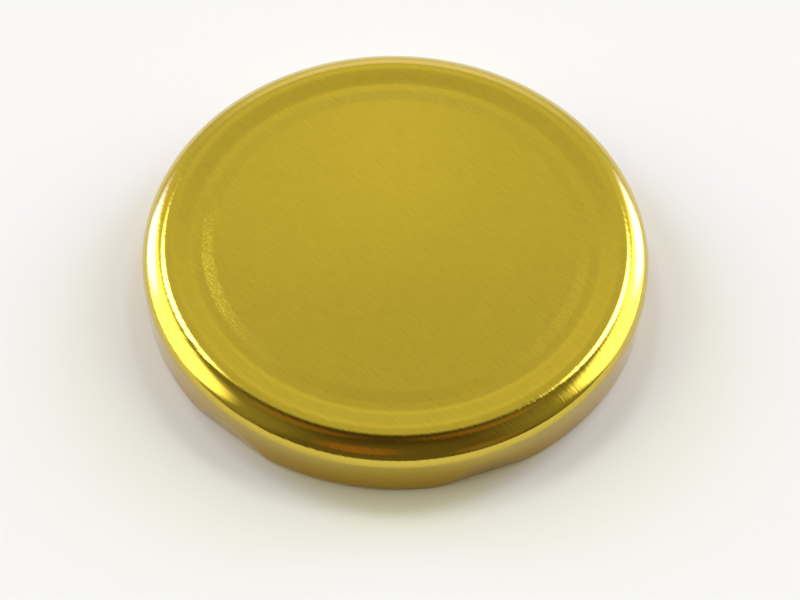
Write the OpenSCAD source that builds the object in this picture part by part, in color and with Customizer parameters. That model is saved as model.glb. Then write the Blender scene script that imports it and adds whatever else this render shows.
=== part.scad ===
// Twist-off lug cap, 82 mm finish: a tinplate pressing and the sealing ring cured into it.
// Millimetres, +Z up, top face up, origin at the centre of the plane that the cap stands on.

/* [Cap] */
// Outside diameter over the skirt
cap_d = 85.4; // [82:0.1:95]
// Height from the plane that it stands on to the top of the sealing channel
cap_h = 10.6; // [9:0.1:14]
// Thickness of the lacquered tinplate
sheet_t = 0.2; // [0.15:0.01:0.25]

/* [Shoulder] */
// Width of the falling shoulder, from its upper knee to the skirt
shoulder_w = 2.8; // [2.2:0.01:3.5]
// Drop of the shoulder, from the channel top to its lower knee
shoulder_drop = 1.95; // [1.2:0.01:2.4]
// Outer radius that rounds the upper knee
crown_r = 4.7; // [3:0.1:6]
// Outer radius that rounds the lower knee into the skirt
edge_r = 3.1; // [1.2:0.1:3.5]

/* [Panel] */
// Width of the flat top of the sealing channel, up to the upper knee
channel_w = 2.42; // [2.3:0.01:4.5]
// Width of the slope between the channel top and the moat
channel_slope_w = 3.15; // [1.8:0.05:3.2]
// Rise from the moat to the channel top
channel_rise = 0.33; // [0.1:0.01:0.8]
// Width of the moat, the lowest flat ring of the panel
moat_w = 1.75; // [1:0.05:3]
// Width of the slope between the moat and the centre disc
disc_slope_w = 2.2; // [1.5:0.05:3]
// Height of the centre disc above the moat
disc_lift = 0.06; // [0.05:0.01:0.5]
// Radius of the soft bends between the rings of the panel
panel_bend_r = 14; // [1:0.5:16]

/* [Curl and lugs] */
// Outer radius of the edge rolled inwards along the bottom of the skirt
curl_r = 0.8; // [0.6:0.05:1]
// How far the rolled edge turns round
curl_turn = 290; // [240:5:300]
// Number of lugs
lug_n = 6; // [4:1:8]
// Width of the straight flat that each lug pulls into the bottom edge
lug_w = 16.3; // [12:0.1:18]
// Height at which that flat runs out into the round skirt
lug_flat_h = 4.4; // [3:0.1:5.5]
// Distance from the round of the skirt to the tip of a lug, across its middle
lug_reach = 3.4; // [3:0.05:4]
// Thickness of a lug, where the sheet is folded back on itself
lug_t = 0.55; // [0.52:0.01:0.8]
// Rise of the lug's underside from its heel to its tip
lug_rise = 0.3; // [0.1:0.05:0.6]
// Outer radius of the bend at a lug's heel
heel_r = 0.45; // [0.3:0.05:0.6]

/* [Sealing ring] */
// Depth of the compound below the underside of the channel
seal_t = 0.85; // [0.5:0.05:1.2]
// Width of the flat land that meets the rim of the jar
seal_land_w = 2.3; // [1.5:0.05:2.4]
// Width of the inner flank, from the thin inner edge to the land
seal_flank_w = 1.2; // [0.8:0.05:1.5]
// How far the compound reaches inwards past the channel's inner edge
seal_inner_w = 1.8; // [1:0.05:2]
// Thickness of the compound over the shoulder, outside the land
seal_cover_t = 0.5; // [0.3:0.05:0.8]
// Depth below the channel top at which the outer edge ends on the skirt
seal_edge_drop = 2.4; // [2:0.05:3]
// Radius that rounds the edges of the land
seal_round_r = 1; // [0.4:0.1:2]

/* [Hidden] */
$fn = 180;
cap_r = cap_d / 2;

// Heights of the panel's rings, on the top face
z_moat = cap_h - channel_rise;
z_disc = z_moat + disc_lift;
// Radii of the panel's rings, from the skirt inwards
r_knee = cap_r - shoulder_w;
r_channel = r_knee - channel_w;
r_slope = r_channel - channel_slope_w;
r_moat = r_slope - moat_w;
r_disc = r_moat - disc_slope_w;

// The flat at a lug is a plane that leans in: it meets the round skirt at lug_flat_h
pull_in = cap_r - sqrt(cap_r * cap_r - lug_w * lug_w / 4);
lean = atan(pull_in / lug_flat_h);
// Distance of the leaning plane from the axis at the height z
function flat_x(z) = cap_r - pull_in * (1 - z / lug_flat_h);
// Half the angle over which it cuts the round where the rolled edge starts
lug_half_a = acos(flat_x(curl_r) / cap_r);
pitch_a = 360 / lug_n;

// A lug's sheet runs this far up inside the sheet of the skirt, this far below both its faces,
// and into the rolled edge by this angle
lap_h = 0.3;
lap_t = 0.02;
lap_a = 0.3;

function unit(v) = v / norm(v);
// Right-hand normal of the line from a to b
function right(a, b) = let (d = unit(b - a)) [d.y, -d.x];
function turn(a, b, c) = cross(unit(b - a), unit(c - b));

// Length that rounding the corner i of the line p takes of each of its sides
function reach(p, r, i) =
    i < 1 || i > len(p) - 2 ? 0
    : r[i - 1] / tan(acos(unit(p[i - 1] - p[i]) * unit(p[i + 1] - p[i])) / 2);
// What the corner i may take of its side towards the corner j: the two share it by need
function room(p, r, i, j) =
    norm(p[i] - p[j]) * reach(p, r, i) / max(reach(p, r, i) + reach(p, r, j), 0.001);

// Arc that rounds the corner b between a and c, taking at most this much of each side
function bend(a, b, c, r, most) =
    let (
        u = unit(a - b),
        w = unit(c - b),
        half = acos(u * w) / 2,
        t = min(r / tan(half), most),
        rr = t * tan(half),
        m = b + unit(u + w) * rr / sin(half),
        a0 = atan2(b.y + u.y * t - m.y, b.x + u.x * t - m.x),
        sweep = sign(turn(a, b, c)) * (180 - 2 * half),
        n = max(2, ceil(abs(sweep) / 6))
    )
    [for (i = [0:n]) m + rr * [cos(a0 + sweep * i / n), sin(a0 + sweep * i / n)]];

// Open line through p with its inner corners rounded by the radii r
function rounded(p, r) = [
    p[0],
    for (i = [1:len(p) - 2])
        each bend(p[i - 1], p[i], p[i + 1], r[i - 1],
            0.999 * min(room(p, r, i, i - 1), room(p, r, i, i + 1))),
    p[len(p) - 1]
];

// The same line moved to its right by t, and the radii that keep both faces parallel
function moved(p, t) = [
    for (i = [0:len(p) - 1])
        let (
            a = right(p[max(i - 1, 0)], p[max(i, 1)]),
            b = right(p[min(i, len(p) - 2)], p[min(i + 1, len(p) - 1)])
        )
        p[i] + t * (a + b) / (1 + a * b)
];
function moved_radii(p, r, t) = [
    for (i = [1:len(p) - 2]) max(r[i - 1] + (turn(p[i - 1], p[i], p[i + 1]) < 0 ? -t : t), 0.02)
];
function reversed(p) = [for (i = [len(p) - 1:-1:0]) p[i]];

// Closed outline of a sheet between the depths t0 and t1 below the line p
function sheet(p, r, t0, t1) = concat(
    rounded(moved(p, t0), moved_radii(p, r, t0)),
    reversed(rounded(moved(p, t1), moved_radii(p, r, t1)))
);

// Top face of the pressing from the axis out and down to the rolled edge
top_line = [
    [0, z_disc], [r_disc, z_disc], [r_moat, z_moat], [r_slope, z_moat],
    [r_channel, cap_h], [r_knee, cap_h], [cap_r, cap_h - shoulder_drop], [cap_r, curl_r]
];
top_radii = [panel_bend_r, panel_bend_r, panel_bend_r, panel_bend_r, crown_r, edge_r];
outer_face = rounded(top_line, top_radii);
inner_face = rounded(moved(top_line, sheet_t), moved_radii(top_line, top_radii, sheet_t));

// Lug, in a section across its middle: down the leaning flat, round the heel, in along the
// underside, round the tip and back above itself
heel = [cap_r - pull_in, 0];
tip = [cap_r - lug_reach, lug_rise];
lug_up = right(heel, tip);
lug_line = [
    [flat_x(curl_r + lap_h), curl_r + lap_h], heel, tip,
    tip + lug_up * lug_t, heel + (tip - heel) * 0.3 + lug_up * lug_t
];
lug_radii = [heel_r, lug_t / 2, lug_t / 2];

// Everything under one face of the pressing, down to the height z
module under(face, z) {
    rotate_extrude() polygon(concat(face, [[face[len(face) - 1].x, z], [0, z]]));
}

// Blocks outside the leaning flats, moved in by t
module lug_flats(t) {
    for (i = [0:lug_n - 1])
        rotate([0, 0, i * pitch_a])
            translate([cap_r, 0, lug_flat_h])
                rotate([0, lean, 0])
                    translate([-t, -lug_w, -lug_flat_h - 2])
                        cube([4, 2 * lug_w, lug_flat_h + 4]);
}

// Panel, shoulder and skirt, with the flats above the lugs
module pressing() {
    difference() {
        under(outer_face, curl_r);
        lug_flats(0);
        difference() {
            under(inner_face, curl_r - 1);
            lug_flats(sheet_t);
        }
    }
}

// Sector of the half angle a about a lug's middle, past the rolled edge's full height
module sector(a) {
    linear_extrude(height = 6 * curl_r, center = true)
        polygon([[0, 0], cap_d * [cos(a), -sin(a)], cap_d * [cos(a), sin(a)]]);
}

// Rolled edge, open where the lugs are
module curl() {
    m = [cap_r - curl_r, curl_r];
    difference() {
        rotate_extrude()
            polygon(concat(
                [for (a = [0:10:curl_turn]) m + curl_r * [cos(a), -sin(a)]],
                [for (a = [curl_turn:-10:0]) m + (curl_r - sheet_t) * [cos(a), -sin(a)]]
            ));
        for (i = [0:lug_n - 1])
            rotate([0, 0, i * pitch_a]) sector(lug_half_a + lap_a);
    }
}

// One lug, cut off along the radii where it meets the rolled edge
module lug() {
    intersection() {
        rotate([90, 0, 0])
            linear_extrude(height = 2 * lug_w, center = true)
                polygon(sheet(lug_line, lug_radii, lap_t, sheet_t - lap_t));
        sector(lug_half_a + 2 * lap_a);
        cylinder(h = 4 * curl_r, r = cap_r - lap_t, center = true);
    }
}

module shell() {
    color("goldenrod") {
        pressing();
        curl();
        for (i = [0:lug_n - 1])
            rotate([0, 0, i * pitch_a]) lug();
    }
}

// Compound flowed into the channel: it lies against the underside of the pressing
module sealing_ring() {
    z_land = cap_h - sheet_t - seal_t;
    r_in = r_channel - seal_inner_w;
    r_land = r_in + seal_flank_w;
    knee = [r_knee, cap_h];
    skirt_knee = [cap_r, cap_h - shoulder_drop];
    cover = (knee + skirt_knee) / 2 + (sheet_t + seal_cover_t) * right(knee, skirt_knee);
    lower_face = rounded([
        [r_in, cap_h], [r_in, z_moat - sheet_t], [r_land, z_land],
        [r_land + seal_land_w, z_land], cover, [cap_r, cap_h - seal_edge_drop]
    ], [0.02, seal_round_r, seal_round_r, seal_round_r]);
    color("antiquewhite")
        rotate_extrude()
            intersection() {
                polygon(concat(inner_face, [[0, 0]]));
                polygon(concat(lower_face, [[cap_r, cap_h]]));
            }
}

shell();
sealing_ring();
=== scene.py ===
"""Looks of a gold-lacquered twist-off jar cap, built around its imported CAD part.

Lengths in the section code are millimetres; meshes are made in metres. The cap stands on
z = 0 with its axis on Z, and a lug's middle lies on +X, as in the CAD part.
"""
import math

import bpy
import numpy as np
from mathutils import Matrix, Vector


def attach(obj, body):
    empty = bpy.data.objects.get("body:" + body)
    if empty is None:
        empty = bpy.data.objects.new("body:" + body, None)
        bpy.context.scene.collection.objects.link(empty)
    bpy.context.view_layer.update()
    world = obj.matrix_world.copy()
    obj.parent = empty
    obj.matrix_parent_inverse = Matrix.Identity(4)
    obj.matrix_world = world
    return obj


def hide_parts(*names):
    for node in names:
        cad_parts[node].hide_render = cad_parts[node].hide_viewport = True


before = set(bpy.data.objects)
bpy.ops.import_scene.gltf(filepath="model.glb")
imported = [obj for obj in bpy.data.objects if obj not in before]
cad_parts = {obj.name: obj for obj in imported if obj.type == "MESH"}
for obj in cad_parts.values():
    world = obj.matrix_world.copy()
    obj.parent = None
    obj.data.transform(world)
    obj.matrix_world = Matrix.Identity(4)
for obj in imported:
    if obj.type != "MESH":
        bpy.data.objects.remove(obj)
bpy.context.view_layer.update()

MM = 0.001

# ---------------------------------------------------------------- sizes of the cap
CAP_R = 42.7
CAP_H = 10.6
SHEET = 0.2
# The top face, from the shoulder in to the centre disc
SHOULDER_W = 2.8
SHOULDER_DROP = 1.95
CHANNEL_W = 2.42
CHANNEL_SLOPE_W = 3.15
CHANNEL_RISE = 0.33
MOAT_W = 1.75
DISC_SLOPE_W = 2.2
DISC_LIFT = 0.06
PANEL_BEND_R = 14
CROWN_R = 4.7
EDGE_R = 3.1
# The rolled edge, and the flats and lugs that are formed in it
CURL_R = 0.8
CURL_TURN = 290
LUGS = 6
LUG_W = 16.3
FLAT_H = 4.4
FLAT_BLEND = 0.12
LUG_REACH = 3.4
LUG_T = 0.55
LUG_RISE = 0.3
# How far along the lug the folded-back layer starts, as a share of its length
LUG_BACK = 0.3
HEEL_R = 0.45
# Half angles over which the rolled edge turns into a folded lug
LUG_IN, LUG_OUT = math.radians(8.6), math.radians(11.6)
# The sealing ring
SEAL_T = 0.85
SEAL_INNER_W = 1.8
SEAL_FLANK_W = 1.2
SEAL_LAND_W = 2.3
SEAL_COVER_T = 0.5
SEAL_EDGE_DROP = 2.35
SEAL_ROUND_R = 1
SEAL_GAP = 0.02
# Inside this radius its lower side dips a little round the ring
SEAL_DIP_R = 40

# Radii and heights that follow from them
KNEE_R = CAP_R - SHOULDER_W
CHANNEL_R = KNEE_R - CHANNEL_W
SLOPE_R = CHANNEL_R - CHANNEL_SLOPE_W
MOAT_R = SLOPE_R - MOAT_W
DISC_R = MOAT_R - DISC_SLOPE_W
Z_MOAT = CAP_H - CHANNEL_RISE
Z_DISC = Z_MOAT + DISC_LIFT
PULL_IN = CAP_R - math.sqrt(CAP_R ** 2 - (LUG_W / 2) ** 2)
TOP_LINE = [
    (0, Z_DISC), (DISC_R, Z_DISC), (MOAT_R, Z_MOAT), (SLOPE_R, Z_MOAT), (CHANNEL_R, CAP_H),
    (KNEE_R, CAP_H), (CAP_R, CAP_H - SHOULDER_DROP), (CAP_R, CURL_R),
]
TOP_RADII = [PANEL_BEND_R] * 4 + [CROWN_R, EDGE_R]

# ---------------------------------------------------------------- mesh density
PRESSING_AROUND = 300
RING_AROUND = 240
# Down to ROUND_END the cap is round; the rows that carry the flats start at SKIRT_TOP
ROUND_END, SKIRT_TOP = 5.4, 5.2
SKIRT_ROWS = 14
# Rows of the rolled edge: to its lowest point, on to its innermost one, and to its end
CURL_ROWS = (9, 18, 14)

# The studio is laid out from where the camera stands: azimuth 0 is straight behind the cap
# and grows to the right; the camera is turned by this much about the axis.
STUDIO_TURN = math.radians(8.5)


# ---------------------------------------------------------------- section lines
def corner(a, b, c, r, step, most):
    """Points of the arc that rounds the corner b, taking at most this much of each side."""
    a, b, c = (np.array(p, float) for p in (a, b, c))
    la, lc = np.linalg.norm(a - b), np.linalg.norm(c - b)
    u, w = (a - b) / la, (c - b) / lc
    half = math.acos(float(u @ w)) / 2
    t = min(r / math.tan(half), most)
    rr = t * math.tan(half)
    m = b + (u + w) / np.linalg.norm(u + w) * rr / math.sin(half)
    start = b + u * t - m
    a0 = math.atan2(start[1], start[0])
    side = (b - a)[0] * (c - b)[1] - (b - a)[1] * (c - b)[0]
    sweep = math.copysign(math.pi - 2 * half, side)
    n = max(5, math.ceil(abs(sweep) / step))
    return [m + rr * np.array([math.cos(a0 + sweep * i / n), math.sin(a0 + sweep * i / n)])
            for i in range(n + 1)]


def rounded(points, radii, step=math.radians(2)):
    """The line with round corners; two corners share the side between them by need."""
    p = [np.array(q, float) for q in points]
    side = [np.linalg.norm(b - a) for a, b in zip(p, p[1:])]
    reach = [0.0]
    for i, r in enumerate(radii):
        u, w = (p[i] - p[i + 1]) / side[i], (p[i + 2] - p[i + 1]) / side[i + 1]
        reach.append(r / math.tan(math.acos(float(u @ w)) / 2))
    reach.append(0.0)
    out = [p[0]]
    for i, r in enumerate(radii):
        most = 0.999 * reach[i + 1] * min(side[i] / (reach[i] + reach[i + 1]),
                                          side[i + 1] / (reach[i + 1] + reach[i + 2]))
        out += corner(p[i], p[i + 1], p[i + 2], r, step, most)
    return out + [np.array(points[-1], float)]


def with_supports(points, near=0.3, far=6.0):
    """Adds points near both ends of each long straight side, and at most far apart along it."""
    out = [points[0]]
    for a, b in zip(points, points[1:]):
        length = np.linalg.norm(b - a)
        if length > 3 * near:
            between = length - 2 * near
            n = max(1, math.ceil(between / far))
            out += [a + (b - a) * (near + between * i / n) / length for i in range(n + 1)]
        if length > 1e-6:
            out.append(b)
    return np.array(out)


def flat_x(z):
    """Distance of a lug's leaning flat from the axis."""
    return CAP_R - PULL_IN * (1 - z / FLAT_H)


def soft_min(a, b, k):
    """The smaller of two lengths, blended where they differ by less than k."""
    h = np.clip(k - np.abs(a - b), 0, None) / k
    return np.minimum(a, b) - h * h * k / 4


def skirt_r(z, off):
    """Radius of the skirt at the height z and the angle off from a lug's middle."""
    return soft_min(np.full_like(z + off, CAP_R), flat_x(z) / np.cos(off), FLAT_BLEND)


def resample(points, n):
    """n points evenly along a line, without its first one."""
    points = np.array(points)
    d = np.concatenate([[0], np.cumsum(np.linalg.norm(np.diff(points, axis=0), axis=1))])
    s = np.linspace(0, d[-1], n + 1)[1:]
    return np.stack([np.interp(s, d, points[:, i]) for i in (0, 1)], 1)


def smooth(x):
    """An even S-curve from 0 to 1."""
    x = np.clip(x, 0, 1)
    return x * x * (3 - 2 * x)


def lug_path():
    """A lug's folded edge from the foot of the flat, in pieces that match the rolled edge."""
    heel = np.array([CAP_R - PULL_IN, 0.0])
    tip = np.array([CAP_R - LUG_REACH, LUG_RISE])
    along = (tip - heel) / np.linalg.norm(tip - heel)
    up = np.array([along[1], -along[0]])
    back = heel + (tip - heel) * LUG_BACK + up * LUG_T
    line = np.array(rounded([(flat_x(CURL_R), CURL_R), heel, tip, tip + up * LUG_T, back],
                            [HEEL_R, LUG_T / 2, LUG_T / 2], math.radians(10)))
    # The rolled edge's lowest point goes with one just inside the heel, on the lug's lower side
    inside = 0.12
    from_heel = np.abs(line[:, 0] - heel[0] + inside)
    low = int(np.argmin(np.where(line[:, 1] > LUG_RISE, np.inf, from_heel)))
    end = int(np.argmin(line[:, 0]))
    parts = [line[:low + 1], line[low:end + 1], line[end:]]
    return np.concatenate([resample(p, n) for p, n in zip(parts, CURL_ROWS)])


def pressing_grid():
    """Outer and inner faces of the pressing: radius and height by angle and row."""
    top = with_supports(rounded(TOP_LINE, TOP_RADII))
    top = top[top[:, 1] > ROUND_END]
    heights = np.linspace(SKIRT_TOP, CURL_R, SKIRT_ROWS)
    stops = (0, 90, 180, CURL_TURN)
    turns = np.radians(np.concatenate([np.linspace(a, b, n + 1)[1:]
                                       for a, b, n in zip(stops, stops[1:], CURL_ROWS)]))
    lug = lug_path()
    phi = np.arange(PRESSING_AROUND) * 2 * math.pi / PRESSING_AROUND
    pitch = 2 * math.pi / LUGS
    off = (phi + pitch / 2) % pitch - pitch / 2
    a = len(top)
    b = a + len(heights)
    r = np.zeros((PRESSING_AROUND, b + len(turns)))
    z = np.zeros_like(r)
    r[:, :a], z[:, :a] = top[:, 0], top[:, 1]
    z[:, a:b] = heights
    r[:, a:b] = skirt_r(heights[None, :], off[:, None])
    foot = r[:, b - 1]
    curl_x = (foot - CURL_R)[:, None] + CURL_R * np.cos(turns)[None, :]
    curl_z = CURL_R - CURL_R * np.sin(turns)[None, :]
    lug_x = lug[None, :, 0] / np.cos(off)[:, None]
    lug_x = lug_x + (foot - flat_x(CURL_R) / np.cos(off))[:, None]
    w = (1 - smooth((np.abs(off) - LUG_IN) / (LUG_OUT - LUG_IN)))[:, None]
    r[:, b:] = curl_x * (1 - w) + lug_x * w
    z[:, b:] = curl_z * (1 - w) + lug[None, :, 1] * w
    # Inner face: the same line moved in by the sheet
    dr, dz = np.gradient(r, axis=1), np.gradient(z, axis=1)
    dr[:, 0], dz[:, 0] = 1, 0
    size = np.hypot(dr, dz)
    ri, zi = r + SHEET * dz / size, z - SHEET * dr / size
    ri[:, 0] = 0
    return phi, r, z, ri, zi


def make_object(name, verts, faces):
    mesh = bpy.data.meshes.new(name)
    mesh.from_pydata(verts, [], faces)
    mesh.validate()
    mesh.shade_smooth()
    mesh.set_sharp_from_angle(angle=math.radians(40))
    obj = bpy.data.objects.new(name, mesh)
    bpy.context.scene.collection.objects.link(obj)
    return obj


def revolve(phi, loops, closed_ends):
    """Vertices and faces of rows of points (angle, row) joined into a closed skin.

    With closed ends, the first and the last row are each one point on the axis. Without
    them, the last row joins the first one.
    """
    r, z = loops
    n, rows = r.shape
    verts, index = [], np.zeros((n, rows), int)
    cos, sin = np.cos(phi), np.sin(phi)
    for j in range(rows):
        if closed_ends and j in (0, rows - 1):
            index[:, j] = len(verts)
            verts.append((0, 0, z[0, j] * MM))
            continue
        index[:, j] = len(verts) + np.arange(n)
        verts += [(r[i, j] * cos[i] * MM, r[i, j] * sin[i] * MM, z[i, j] * MM) for i in range(n)]
    faces = []
    last = rows - 1 if closed_ends else rows
    for j in range(last):
        k = (j + 1) % rows
        for i in range(n):
            m = (i + 1) % n
            q = (index[i, j], index[i, k], index[m, k], index[m, j])
            faces.append([int(v) for v in dict.fromkeys(q)])
    return verts, faces


def make_pressing():
    phi, r, z, ri, zi = pressing_grid()
    loops = (np.concatenate([r, ri[:, ::-1]], 1), np.concatenate([z, zi[:, ::-1]], 1))
    return make_object("lid_pressing", *revolve(phi, loops, True))


def make_sealing_ring():
    """The compound ring: flowed in, so its edges wander a little."""
    r_in = CHANNEL_R - SEAL_INNER_W
    r_land = r_in + SEAL_FLANK_W
    z_land = CAP_H - SHEET - SEAL_T
    knee, skirt_knee = np.array([KNEE_R, CAP_H]), np.array([CAP_R, CAP_H - SHOULDER_DROP])
    fall = (skirt_knee - knee) / np.linalg.norm(skirt_knee - knee)
    cover = (knee + skirt_knee) / 2 + (SHEET + SEAL_COVER_T) * np.array([fall[1], -fall[0]])
    # The upper side follows the sheet's inner face, a hair below it
    upper = np.array(rounded(TOP_LINE, TOP_RADII, math.radians(4)))
    d = np.gradient(upper, axis=0)
    size = np.hypot(d[:, 0], d[:, 1])
    gap = SHEET + SEAL_GAP
    upper = np.stack([upper[:, 0] + gap * d[:, 1] / size, upper[:, 1] - gap * d[:, 0] / size], 1)
    keep = (upper[:, 0] > r_in + SEAL_GAP) & (upper[:, 1] > CAP_H - SEAL_EDGE_DROP)
    back = upper[keep][::-1]
    out, z_in = back[0], back[-1][1]
    # The lower side, with a short lead-in at each end that keeps it off the upper side
    lower = rounded([(r_in, z_in - 0.01), (r_in + 0.05, z_in - 0.1),
                     (r_land, z_land), (r_land + SEAL_LAND_W, z_land), cover,
                     (out[0] - 0.03, out[1] - 0.04)],
                    [0.1] + [SEAL_ROUND_R] * 3, math.radians(6))
    ring = np.concatenate([with_supports(np.array(lower), 0.15, 0.5), back])
    phi = np.arange(RING_AROUND) * 2 * math.pi / RING_AROUND
    # Each wave: its height, how often it comes round the ring, where it starts
    wave = sum(a * np.sin(k * phi + p) for a, k, p in
               ((0.05, 5, 0.4), (0.04, 11, 2.1), (0.025, 23, 1.2), (0.015, 41, 5.0)))
    r = np.repeat(ring[None, :, 0], RING_AROUND, 0)
    z = np.repeat(ring[None, :, 1], RING_AROUND, 0)
    inner = np.clip(1 - (ring[:, 0] - r_in) / 1.0, 0, 1)[None, :]
    r = r + inner * wave[:, None]
    under = (np.arange(len(ring)) < len(ring) - len(back))[None, :]
    dip = 0.03 * np.sin(3 * phi + 1) + 0.02 * np.sin(8 * phi)
    z = z + dip[:, None] * under * (1 - inner) * (ring[None, :, 0] < SEAL_DIP_R)
    return make_object("sealing_compound", *revolve(phi, (r[:, ::-1], z[:, ::-1]), False))


# ---------------------------------------------------------------- node helpers
class Tree:
    """Short calls for building a node tree."""

    def __init__(self, tree):
        self.tree = tree
        tree.nodes.clear()

    def node(self, kind, inputs=None, **props):
        n = self.tree.nodes.new(kind)
        for key, value in props.items():
            setattr(n, key, value)
        for key, value in (inputs or {}).items():
            if isinstance(value, bpy.types.NodeSocket):
                self.tree.links.new(value, n.inputs[key])
            else:
                n.inputs[key].default_value = value
        return n

    def math(self, op, a, b=0.0, c=0.0):
        return self.node("ShaderNodeMath", {0: a, 1: b, 2: c}, operation=op).outputs[0]

    def vec(self, op, a, b=(0, 0, 0), c=(0, 0, 0)):
        inputs = {0: a, 1: b}
        if op == "MULTIPLY_ADD":
            inputs[2] = c
        n = self.node("ShaderNodeVectorMath", inputs, operation=op)
        return n.outputs["Value"] if op == "DOT_PRODUCT" else n.outputs[0]

    def ramp(self, value, lo, hi, to_lo=0.0, to_hi=1.0, kind="SMOOTHSTEP"):
        n = self.node("ShaderNodeMapRange", {"Value": value, "From Min": lo, "From Max": hi,
                                             "To Min": to_lo, "To Max": to_hi},
                      interpolation_type=kind)
        return n.outputs[0]

    def mix(self, factor, a, b):
        n = self.node("ShaderNodeMix", {0: factor, 6: a, 7: b}, data_type="RGBA")
        return n.outputs[2]

    def noise(self, vector, scale, detail, rough):
        n = self.node("ShaderNodeTexNoise", {"Vector": vector, "Scale": scale, "Detail": detail,
                                             "Roughness": rough})
        return n.outputs["Fac"]


def new_material(name):
    material = bpy.data.materials.new(name)
    material.use_nodes = True
    return material, Tree(material.node_tree)


def studio_dir(azimuth, elevation):
    """The direction that a lamp or wall of the studio lies in."""
    az, el = math.radians(azimuth) - STUDIO_TURN, math.radians(elevation)
    return Vector((math.sin(az) * math.cos(el), math.cos(az) * math.cos(el), math.sin(el)))


# ---------------------------------------------------------------- gold lacquer
def gold_lacquer():
    material, t = new_material("gold_lacquer")
    place = t.node("ShaderNodeTexCoord").outputs["Object"]
    flat = t.vec("MULTIPLY", place, (1, 1, 0))
    radius = t.node("ShaderNodeVectorMath", {0: flat}, operation="LENGTH").outputs["Value"]
    below = t.math("SUBTRACT", CAP_H * MM, t.node("ShaderNodeSeparateXYZ", {0: place}).outputs[2])
    # Place on the flat blank before it was drawn: the skirt was the rim of the disc
    spread = t.math("DIVIDE", t.math("ADD", radius, below), t.math("MAXIMUM", radius, 1e-5))
    blank = t.node("ShaderNodeVectorMath", {0: flat, "Scale": spread}, operation="SCALE").outputs[0]
    # The rolling grain of the sheet runs one way across the whole blank
    grain = math.radians(-43) + STUDIO_TURN
    turned = t.node("ShaderNodeVectorRotate", {"Vector": blank, "Angle": -grain},
                    rotation_type="Z_AXIS").outputs[0]
    fine = t.noise(t.vec("MULTIPLY", turned, (600, 8600, 1)), 1.0, 2.0, 0.6)
    broad = t.noise(t.vec("MULTIPLY", turned, (260, 3700, 1)), 1.0, 2.0, 0.5)
    mottle = t.noise(place, 260.0, 2.0, 0.5)
    # Forming stretched the slope round the disc and the shoulder, which opened their grain;
    # where they lie is in metres
    slope = t.math("MULTIPLY", t.ramp(radius, 0.0302, 0.0306), t.ramp(radius, 0.0328, 0.0324))
    shoulder = t.math("MULTIPLY", t.ramp(radius, 0.0378, 0.0395), t.ramp(below, 0.0052, 0.0022))
    depth = t.math("MULTIPLY_ADD", slope, 1.3, 1.0)
    depth = t.math("MULTIPLY_ADD", shoulder, 1.2, depth)
    height = t.math("MULTIPLY", t.math("ADD", broad, fine), depth)
    # Drawing the shoulder also opened the grain into coarse streaks
    coarse = t.noise(t.vec("MULTIPLY", turned, (140, 2000, 1)), 1.0, 1.0, 0.5)
    height = t.math("MULTIPLY_ADD", t.math("MULTIPLY", coarse, shoulder), 9.0, height)
    bump = t.node("ShaderNodeBump", {"Strength": 1.0, "Distance": 1.9e-6, "Height": height})
    # Specks of dust and pinholes under the lacquer
    cells = t.node("ShaderNodeTexVoronoi", {"Vector": place, "Scale": 230.0, "Randomness": 1.0})
    near = t.ramp(cells.outputs["Distance"], 0.02, 0.05, 1.0, 0.0)
    pick = t.node("ShaderNodeSeparateColor", {0: cells.outputs["Color"]})
    few = t.math("GREATER_THAN", pick.outputs[0], 0.7)
    speck = t.math("MULTIPLY", near, few)
    # The grain shows in the tone of the lacquer too
    lines = t.math("MULTIPLY_ADD", broad, 0.6, t.math("MULTIPLY", fine, 0.6))
    lines = t.ramp(lines, 0.48, 0.72, kind="LINEAR")
    base = t.mix(lines, (0.600, 0.457, 0.043, 1), (0.674, 0.513, 0.051, 1))
    base = t.mix(t.math("MULTIPLY", t.ramp(mottle, 0.3, 0.7), 0.35), base, (0.610, 0.462, 0.046, 1))
    base = t.mix(t.math("MULTIPLY", speck, 0.28), base, (0.85, 0.72, 0.3, 1))
    # Painted shade and reflection: the skirt's lacquer is darker and more orange towards its
    # bottom, standing in for the warm, shadowed floor it reflects near the cap
    painted_skirt_shade = t.ramp(below, 0.002, 0.0095)
    base = t.node("ShaderNodeMix", {0: painted_skirt_shade, 6: base, 7: (0.86, 0.70, 0.10, 1)},
                  data_type="RGBA", blend_type="MULTIPLY").outputs[2]
    rough = t.math("MULTIPLY_ADD", fine, 0.05, 0.08)
    rough = t.math("MULTIPLY_ADD", speck, 0.12, rough)
    shader = t.node("ShaderNodeBsdfPrincipled", {
        "Base Color": base, "Metallic": 1.0, "Roughness": rough, "Normal": bump.outputs[0],
        "Coat Weight": 0.7, "Coat Roughness": 0.03, "Coat IOR": 1.4,
        "Coat Normal": bump.outputs[0]})
    t.node("ShaderNodeOutputMaterial", {"Surface": shader.outputs[0]})
    return material


def compound():
    material, t = new_material("plastisol")
    place = t.node("ShaderNodeTexCoord").outputs["Object"]
    fine = t.noise(place, 1400.0, 3.0, 0.6)
    broad = t.noise(place, 160.0, 2.0, 0.5)
    bump = t.node("ShaderNodeBump", {"Strength": 1.0, "Distance": 1.2e-5, "Height": fine})
    base = t.mix(broad, (0.66, 0.60, 0.44, 1), (0.72, 0.66, 0.50, 1))
    rough = t.math("MULTIPLY_ADD", fine, 0.2, 0.32)
    shader = t.node("ShaderNodeBsdfPrincipled", {
        "Base Color": base, "Roughness": rough, "Normal": bump.outputs[0],
        "Subsurface Weight": 0.15, "Subsurface Scale": 0.001})
    t.node("ShaderNodeOutputMaterial", {"Surface": shader.outputs[0]})
    return material


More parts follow.
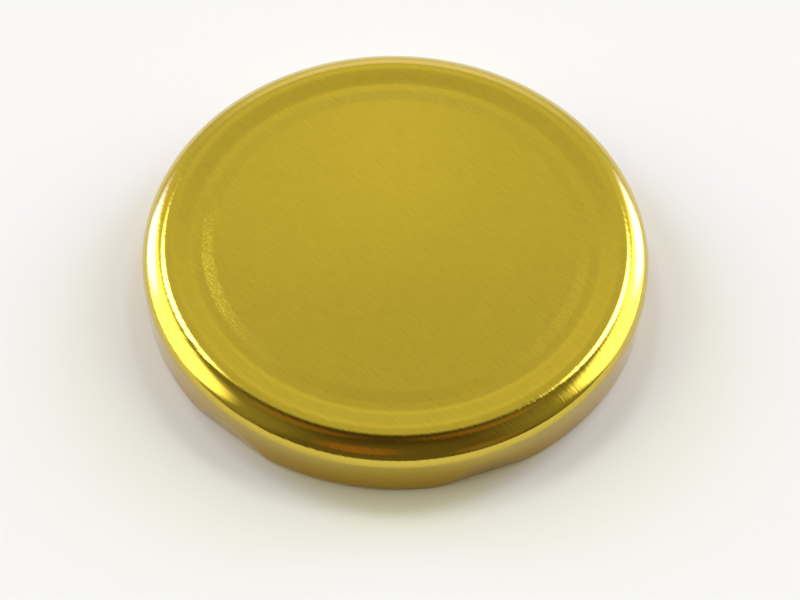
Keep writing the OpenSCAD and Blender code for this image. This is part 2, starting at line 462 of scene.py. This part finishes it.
# ---------------------------------------------------------------- studio
def make_floor():
    size = 1.6
    verts = [(-size, -size, 0), (size, -size, 0), (size, size, 0), (-size, size, 0)]
    floor = make_object("floor", verts, [(0, 1, 2, 3)])
    material, t = new_material("floor_paper")
    shader = t.node("ShaderNodeBsdfDiffuse", {"Color": (0.818, 0.828, 0.765, 1)})
    t.node("ShaderNodeOutputMaterial", {"Surface": shader.outputs[0]})
    floor.data.materials.append(material)


def make_world():
    world = bpy.data.worlds.new("studio")
    bpy.context.scene.world = world
    world.use_nodes = True
    t = Tree(world.node_tree)
    ray = t.node("ShaderNodeTexCoord").outputs["Generated"]
    # azimuth, elevation, angle of the full core, angle where it ends, radiance
    spots = [
        (0, 5, 54, 67, (0.585, 0.575, 0.345)),    # pale backdrop
        (0, 18, 14, 28, (0.22, 0.22, 0.24)),      # the floor's bounce on it
        (0, 27, 5, 20, (0.25, 0.22, 0.85)),       # cool gleam in the middle of it
        (-4, 50, 0.7, 5.8, (0.14, 0.13, 0.07)),   # gleam at its top, to the left
        (4, 50, 0.7, 5.8, (0.105, 0.10, 0.05)),   # gleam at its top, to the right
        (-84, 25, 30, 58, (0.24, 0.23, 0.14)),    # wall lit around the left lamp
        (76, 25, 30, 58, (0.24, 0.23, 0.14)),     # wall lit around the right lamp
        (-77, 24, 21, 36, (2.85, 2.9, 2.3)),      # left lamp
        (-54, 18, 9, 17, (1.0, 1.1, 9.0)),        # its bright side: blue, so gold shines white
        (70, 24, 20, 35, (2.85, 2.9, 2.3)),       # right lamp
        (50, 18, 9, 17, (1.0, 1.1, 9.0)),         # its bright side, as on the left
        (-31, 54.5, 3, 8.8, (9.5, 9.6, 11.5)),    # high left lamp
        (32, 54.5, 3, 8.8, (9.5, 9.6, 11.5)),     # high right lamp
        (180, 15, 30, 75, (0.09, 0.073, 0.035)),  # the room in front
        (-165, 45, 5, 16, (0.20, 0.06, 0.01)),    # brown things in the room
        (142, 20, 5, 18, (0.12, 0.075, 0.025)),
        (-80, 76, 3, 12, (0.20, 0.08, 0.01)),     # warm patches overhead
        (70, 77, 3, 12, (0.20, 0.08, 0.01)),
    ]
    total = (0.075, 0.056, 0.035)
    for az, el, core, end, radiance in spots:
        axis = studio_dir(az, el)
        cos = t.vec("DOT_PRODUCT", ray, tuple(axis))
        weight = t.ramp(cos, math.cos(math.radians(end)), math.cos(math.radians(core)))
        total = t.vec("MULTIPLY_ADD", weight, radiance, total)
    studio = t.node("ShaderNodeBackground", {"Color": total, "Strength": 1.0})
    white = t.node("ShaderNodeBackground", {"Color": (0.96, 0.96, 0.96, 1), "Strength": 1.0})
    seen = t.node("ShaderNodeLightPath").outputs["Is Camera Ray"]
    both = t.node("ShaderNodeMixShader", {0: seen, 1: studio.outputs[0], 2: white.outputs[0]})
    t.node("ShaderNodeOutputWorld", {"Surface": both.outputs[0]})


def make_camera():
    """Looks down on the panel from 53 degrees; the cap sits a little above the middle."""
    azimuth, elevation, distance = math.radians(-90) + STUDIO_TURN, math.radians(53.2), 0.3399
    roll = math.radians(1.41)
    centre = Vector((0, 0, 0.01006))
    place = centre + distance * Vector((math.cos(azimuth) * math.cos(elevation),
                                        math.sin(azimuth) * math.cos(elevation),
                                        math.sin(elevation)))
    aim = Vector((0.00271, -0.01225, 0.01006))
    ahead = (aim - place).normalized()
    right = ahead.cross(Vector((0, 0, 1))).normalized()
    up = right.cross(ahead)
    right, up = (right * math.cos(roll) + up * math.sin(roll),
                 up * math.cos(roll) - right * math.sin(roll))
    data = bpy.data.cameras.new("camera")
    data.sensor_width = 36
    data.lens = 91.08
    data.clip_start = 0.01
    camera = bpy.data.objects.new("camera", data)
    turn = Matrix((right, up, -ahead)).transposed().to_4x4()
    camera.matrix_world = Matrix.Translation(place) @ turn
    bpy.context.scene.collection.objects.link(camera)
    bpy.context.scene.camera = camera


# ---------------------------------------------------------------- put together
make_camera()
make_world()
make_floor()

pressing = make_pressing()
pressing.data.materials.append(gold_lacquer())
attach(pressing, "root")
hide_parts("shell")

ring = make_sealing_ring()
ring.data.materials.append(compound())
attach(ring, "root")
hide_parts("sealing_ring")

bpy.context.scene.view_settings.view_transform = "Standard"
